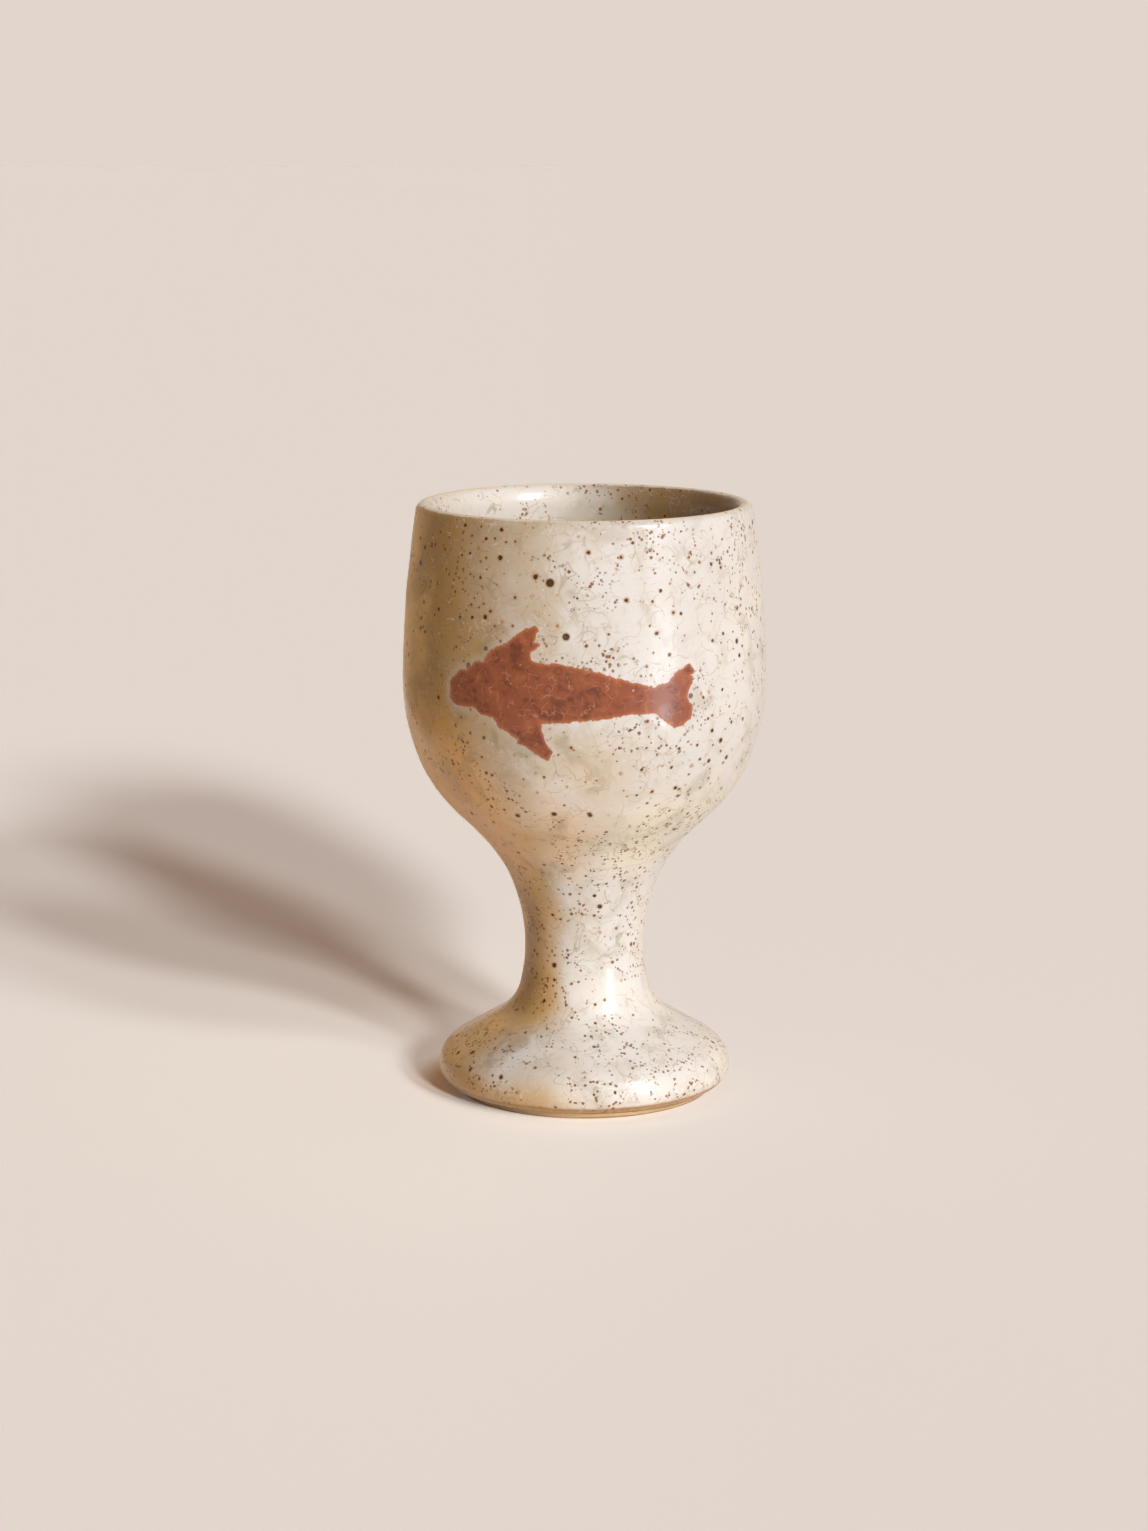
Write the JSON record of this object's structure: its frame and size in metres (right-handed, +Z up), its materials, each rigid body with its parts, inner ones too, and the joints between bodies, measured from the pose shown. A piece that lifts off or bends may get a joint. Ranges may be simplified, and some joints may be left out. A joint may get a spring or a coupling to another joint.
{
  "type": "stemmed ceramic goblet",
  "caption": "Wheel-thrown stoneware goblet: deep rounded bowl on a short hollow stem with a flared foot, oatmeal glaze with a brushed fish on the front.",
  "frame": {"origin": "on the table, at the centre of the foot ring", "axes": "+Z up along the axis the goblet was thrown on, -Y towards the side with the fish, whose nose points to -X"},
  "size_m": [0.0912, 0.0912, 0.15],
  "materials": {
    "stoneware_clay": "bare fired stoneware, warm tan, fine grained and matt",
    "slip_clay": "fired joining slip of the same clay, matt",
    "oatmeal_glaze": "gloss oatmeal glaze with brown iron specks, fine craze lines and tan breaks on the edges",
    "liner_glaze": "gloss grey-white liner glaze with fine brown specks",
    "iron_pigment": "mottled iron red brushwork melted into the glaze, satin gloss"
  },
  "bodies": {
    "root": {"stem_foot": "stoneware_clay", "bowl": "stoneware_clay", "joint_coil": "stoneware_clay", "joint_slip": "slip_clay", "glaze_outside": "oatmeal_glaze", "glaze_inside": "liner_glaze", "fish_decoration": "iron_pigment"}
  },
  "joints": []
}
